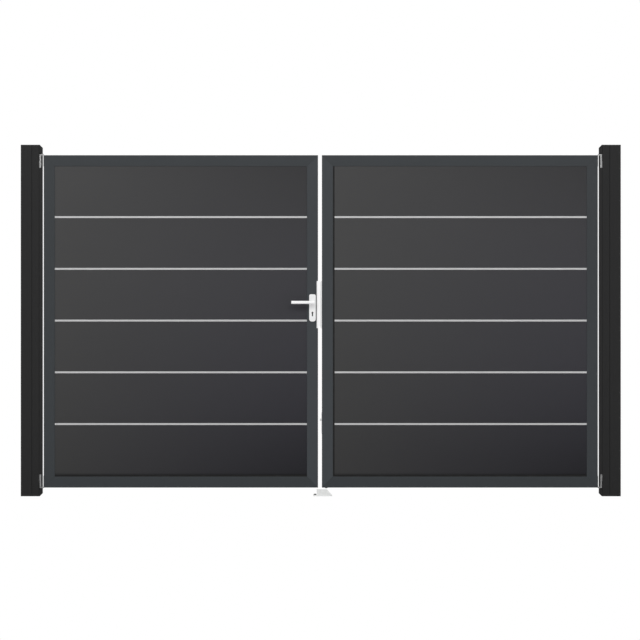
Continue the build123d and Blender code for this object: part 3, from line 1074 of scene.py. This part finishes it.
@dataclass
class Lever(Assembly):
    """Round lever handle on one face of the left leaf.

    Sizes are in metres, apart from neck_stations, which are shares of the neck's length, grip_start and
    collar_bore, in units of the radius, and collar_soft, in units of the collar's edge.
    """

    face: Face
    radius: float = 8.5 * MM
    neck_stations: tuple[float, ...] = (0.0, 0.0, 0.5, 0.9)
    grip_start: float = 1.1
    grip_rings: int = 10
    end: float = 2 * MM
    end_rings: int = 6
    collar_radius: float = 12.5 * MM
    collar_bore: float = 0.9
    collar: float = 5 * MM
    collar_gap: float = 0.4 * MM
    collar_edge: float = 0.8 * MM
    collar_soft: float = 0.3
    segments: int = 48
    sharp: float = 35.0
    node: str = field(init=False)
    axis: Vector = field(init=False)
    root_y: float = field(init=False)
    plate: float = field(init=False)
    standoff: float = field(init=False)
    tip: float = field(init=False)

    def __post_init__(self) -> None:
        """Reads the axis from its joint, the reach from its solid and the face from its lock plate."""
        self.node = f"{self.face.label}_lever"
        joints = {joint["name"]: joint for joint in frame["joints"]}
        self.axis = Vector(joints["lever_turn"]["pos_m"])
        low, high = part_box(self.node)
        plate_low, plate_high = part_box(f"{self.face.label}_lock_plate")
        front = self.face is Face.FRONT
        self.root_y = plate_high.y if front else plate_low.y
        self.plate = plate_high.y - plate_low.y
        self.standoff = (self.root_y - low.y if front else high.y - self.root_y) - self.radius
        self.tip = self.axis.x - low.x

    def dress(self) -> None:
        """Gives the solid its finish."""
        self.palette.dress(self.node, material=self.palette.lever)

    def grip(self) -> np.ndarray:
        """Neck and grip surface.

        A circle is carried straight out of the leaf to a mitre and then straight along the grip. With d the
        offset of a point towards the grip, the neck has P = (d, out), the mitre P = (d, standoff - d) and the
        grip P = (over, standoff - d); the last rings shrink along a quarter circle, which rounds the end.

        Returns:
            Points of shape (1, stations, segments, 3).
        """
        neck = np.array(self.neck_stations) * (self.standoff - self.radius)
        straight = np.linspace(self.grip_start * self.radius, self.tip - self.end, self.grip_rings)
        turn = np.linspace(0.0, np.pi / 2, self.end_rings + 1)[1:]
        rounding = self.tip - self.end * (1 - np.sin(turn))
        over = np.concatenate([0 * neck, [0.0], straight, rounding, [self.tip]])
        out = np.concatenate([neck, np.full(len(over) - len(neck), self.standoff)])
        along = np.concatenate([np.ones(len(neck) + 1), np.zeros(len(over) - len(neck) - 1)])
        across = np.concatenate([np.zeros(len(neck)), np.ones(len(over) - len(neck))])
        size = np.full(len(over), self.radius)
        size[[0, -1]] = 0.0
        size[-1 - len(turn):-1] -= self.end * (1 - np.cos(turn))
        around = full_turn(self.segments)
        spread = size[:, None] * np.cos(around)
        x = self.axis.x - (over[:, None] + along[:, None] * spread)
        y = self.root_y + self.face.value * (out[:, None] - across[:, None] * spread)
        z = self.axis.z + size[:, None] * np.sin(around)
        return np.stack([x, y, z], axis=-1)[None]

    def ring(self) -> np.ndarray:
        """Collar surface: a profile with rounded rims turned about the lever's axis.

        Returns:
            Points of shape (1, profile, segments, 3).
        """
        inner, rim, edge = self.collar_bore * self.radius, self.collar_radius, self.collar_edge
        soft = self.collar_soft * edge
        start = self.plate + self.collar_gap
        stop = start + self.collar
        reach = np.array([inner, rim - edge, rim - soft, rim, rim, rim - soft, rim - edge, inner])
        depth = np.array([start, start, start + soft, start + edge, stop - edge, stop - soft, stop, stop])
        around = full_turn(self.segments)
        x = self.axis.x + reach[:, None] * np.cos(around)
        z = self.axis.z + reach[:, None] * np.sin(around)
        y = np.broadcast_to(self.root_y + self.face.value * depth[:, None], x.shape)
        return np.stack([x, y, z], axis=-1)[None]

    def build(self) -> None:
        """Makes the grip and its collar in place of the plain solid."""
        grip = piece_from_grids(f"{self.node}_grip", self.grip(), True)
        collar = piece_from_grids(f"{self.node}_collar", self.ring(), True)
        settle(grip, Body.LEVER, self.palette.lever, self.sharp)
        settle(collar, Body.LEVER, self.palette.lever, self.sharp)
        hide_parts(self.node)


@dataclass
class Lock(Assembly):
    """Lock plates, levers, forend with its case, and keep."""

    forend_screw_inset: float = 14 * MM
    keep_screw_inset: float = 22 * MM
    levers: tuple[Lever, ...] = field(init=False)

    def __post_init__(self) -> None:
        """Puts a lever on each face."""
        self.levers = tuple(Lever(self.palette, face) for face in Face)

    def dress(self) -> None:
        """Gives the solids their finish."""
        self.palette.dress("front_lock_plate", "rear_lock_plate", "lock_keep")
        self.palette.dress("lock_forend", material=self.palette.lock_case)
        for lever in self.levers:
            lever.dress()

    def build(self) -> None:
        """Makes the levers and the screws of forend and keep."""
        for lever in self.levers:
            lever.build()
        edge_screws("lock_forend", 1, self.forend_screw_inset, Body.LEFT_LEAF, self.palette)
        edge_screws("lock_keep", -1, self.keep_screw_inset, Body.RIGHT_LEAF, self.palette)


@dataclass
class DropBolt(Assembly):
    """Drop bolt of the right leaf with its slotted guide plate."""

    screw_inset: float = 9 * MM

    def dress(self) -> None:
        """Gives the solids their finish."""
        self.palette.dress("drop_bolt", "drop_bolt_plate")

    def build(self) -> None:
        """Makes the screws of the guide plate."""
        edge_screws("drop_bolt_plate", -1, self.screw_inset, Body.RIGHT_LEAF, self.palette)


@dataclass
class FloorStop(Assembly):
    """Block on the ground that the leaves meet at, held by two bolts."""

    bolt_radius: float = 7 * MM

    def dress(self) -> None:
        """Gives the solid its finish."""
        self.palette.dress("floor_stop")

    def build(self) -> None:
        """Makes the bolts over the anchor holes."""
        mounts = {mount["name"]: mount for mount in frame["record"]["mounts"]}
        anchors = mounts["floor_stop_anchors"]
        reach = np.array([0.0, anchors["dims"]["spacing_y_mm"] * MM / 2, 0.0])
        spots = np.array(anchors["pos_m"]) + np.stack([reach, -reach])
        bolts = Fasteners("floor_stop_bolts", HeadKind.HEX_BOLT, self.bolt_radius, spots, Vector((0, 0, 1)))
        bolts.build(Body.POSTS, Slot.BOLT_METAL, self.palette)


def assemblies(palette: Palette) -> list[Assembly]:
    """The sub-assemblies of the gate, in the order in which they are made.

    Args:
        palette: the materials that they wear.

    Returns:
        The sub-assemblies, not yet dressed or built.
    """
    leaves = [Leaf(palette, side) for side in Side]
    hinges = [Hinges(palette, side) for side in Side]
    return [Posts(palette), *leaves, *hinges, Lock(palette), DropBolt(palette), FloorStop(palette)]


# Studio


@dataclass(frozen=True)
class Lamp:
    """A soft box: its place and target beside the middle of the gate, its size and its power."""

    name: str
    place: Triple
    target_height: float
    size: Range
    watts: float

    def hang(self, middle_x: float) -> None:
        """Makes the light.

        Args:
            middle_x: the middle of the gate along X.
        """
        data = bpy.data.lights.new(self.name, "AREA")
        data.shape = "RECTANGLE"
        data.size, data.size_y = self.size
        data.energy = self.watts
        light = bpy.data.objects.new(self.name, data)
        light.location = Vector(self.place) + Vector((middle_x, 0.0, 0.0))
        aim = Vector((middle_x, 0.0, self.target_height)) - light.location
        light.rotation_euler = aim.to_track_quat("-Z", "Y").to_euler()
        bpy.context.scene.collection.objects.link(light)


@dataclass
class Studio:
    """Pale floor, soft lights and the camera that looks square at the gate.

    The camera takes in a picture of the given width in metres, and aim_x and aim_z are the distance of the
    picture's middle from the middle of the gate.
    """

    centre: Vector
    picture: float = 3.4655
    aim_x: float = -4.2 * MM
    aim_z: float = 2.8 * MM
    distance: float = 12.0
    floor_half: float = 60.0
    floor_points: int = 3
    floor_drop: float = 0.5 * MM
    backdrop: float = 1.0
    ambient: float = 0.24
    lamps: tuple[Lamp, ...] = (
        Lamp("front_soft", place=(0.0, -5.2, 4.6), target_height=1.35, size=(7.0, 3.2), watts=225.0),
        Lamp("left_soft", place=(-5.5, -3.2, 3.0), target_height=1.1, size=(2.5, 2.5), watts=80.0),
        Lamp("right_soft", place=(5.5, -3.2, 3.0), target_height=1.1, size=(2.5, 2.5), watts=65.0),
        Lamp("rear_soft", place=(0.0, 5.0, 4.2), target_height=1.2, size=(5.0, 2.5), watts=160.0),
    )

    def build(self) -> None:
        """Makes the stage."""
        self.floor()
        self.sky()
        for lamp in self.lamps:
            lamp.hang(self.centre.x)
        self.camera()
        bpy.context.scene.view_settings.view_transform = "Standard"

    def floor(self) -> None:
        """Lays a wide flat floor, P(u, v) = (u, v, just under the feet)."""
        reach = np.linspace(-self.floor_half, self.floor_half, self.floor_points)
        x, y = np.meshgrid(reach, reach, indexing="ij")
        grid = np.stack([x, y, np.full_like(x, -self.floor_drop)], axis=-1)[None]
        plane = piece_from_grids("floor", grid, False)
        plane.data.materials.append(FloorPaint("floor_paint", self.centre.x).build())

    def sky(self) -> None:
        """White behind the gate, a softer grey for the light that falls on it."""
        world = bpy.data.worlds.new("studio")
        world.use_nodes = True
        graph = Graph(world.node_tree)
        graph.tree.nodes.remove(graph.tree.nodes["Background"])
        eye = graph.node("ShaderNodeLightPath", {}, {}, "Is Camera Ray")
        cast = graph.node("ShaderNodeBackground", {}, {"Color": WHITE, "Strength": self.ambient})
        seen = graph.node("ShaderNodeBackground", {}, {"Color": WHITE, "Strength": self.backdrop})
        mixed = graph.node("ShaderNodeMixShader", {}, {"Fac": eye, 1: cast, 2: seen})
        graph.feed(graph.tree.nodes["World Output"].inputs["Surface"], mixed)
        bpy.context.scene.world = world

    def camera(self) -> None:
        """Sets the camera square to the front, without perspective."""
        data = bpy.data.cameras.new("camera")
        data.type = "ORTHO"
        data.ortho_scale = self.picture
        eye = bpy.data.objects.new("camera", data)
        eye.location = self.centre + Vector((self.aim_x, -self.distance, self.aim_z))
        eye.rotation_euler = (math.pi / 2, 0.0, 0.0)
        bpy.context.scene.collection.objects.link(eye)
        bpy.context.scene.camera = eye


# Making of the scene


def main() -> None:
    """Builds the gate and its studio in order."""
    logging.basicConfig(level=logging.INFO, format="%(name)s: %(message)s")
    palette = Palette()
    for assembly in assemblies(palette):
        assembly.dress()
        assembly.build()
    if palette.bare:
        LOG.warning("solids without a finish: %s", sorted(palette.bare))
    low, high = CAD_BOX
    Studio(Vector(((low.x + high.x) / 2, 0.0, (low.z + high.z) / 2))).build()


if __name__ == "__main__":
    main()
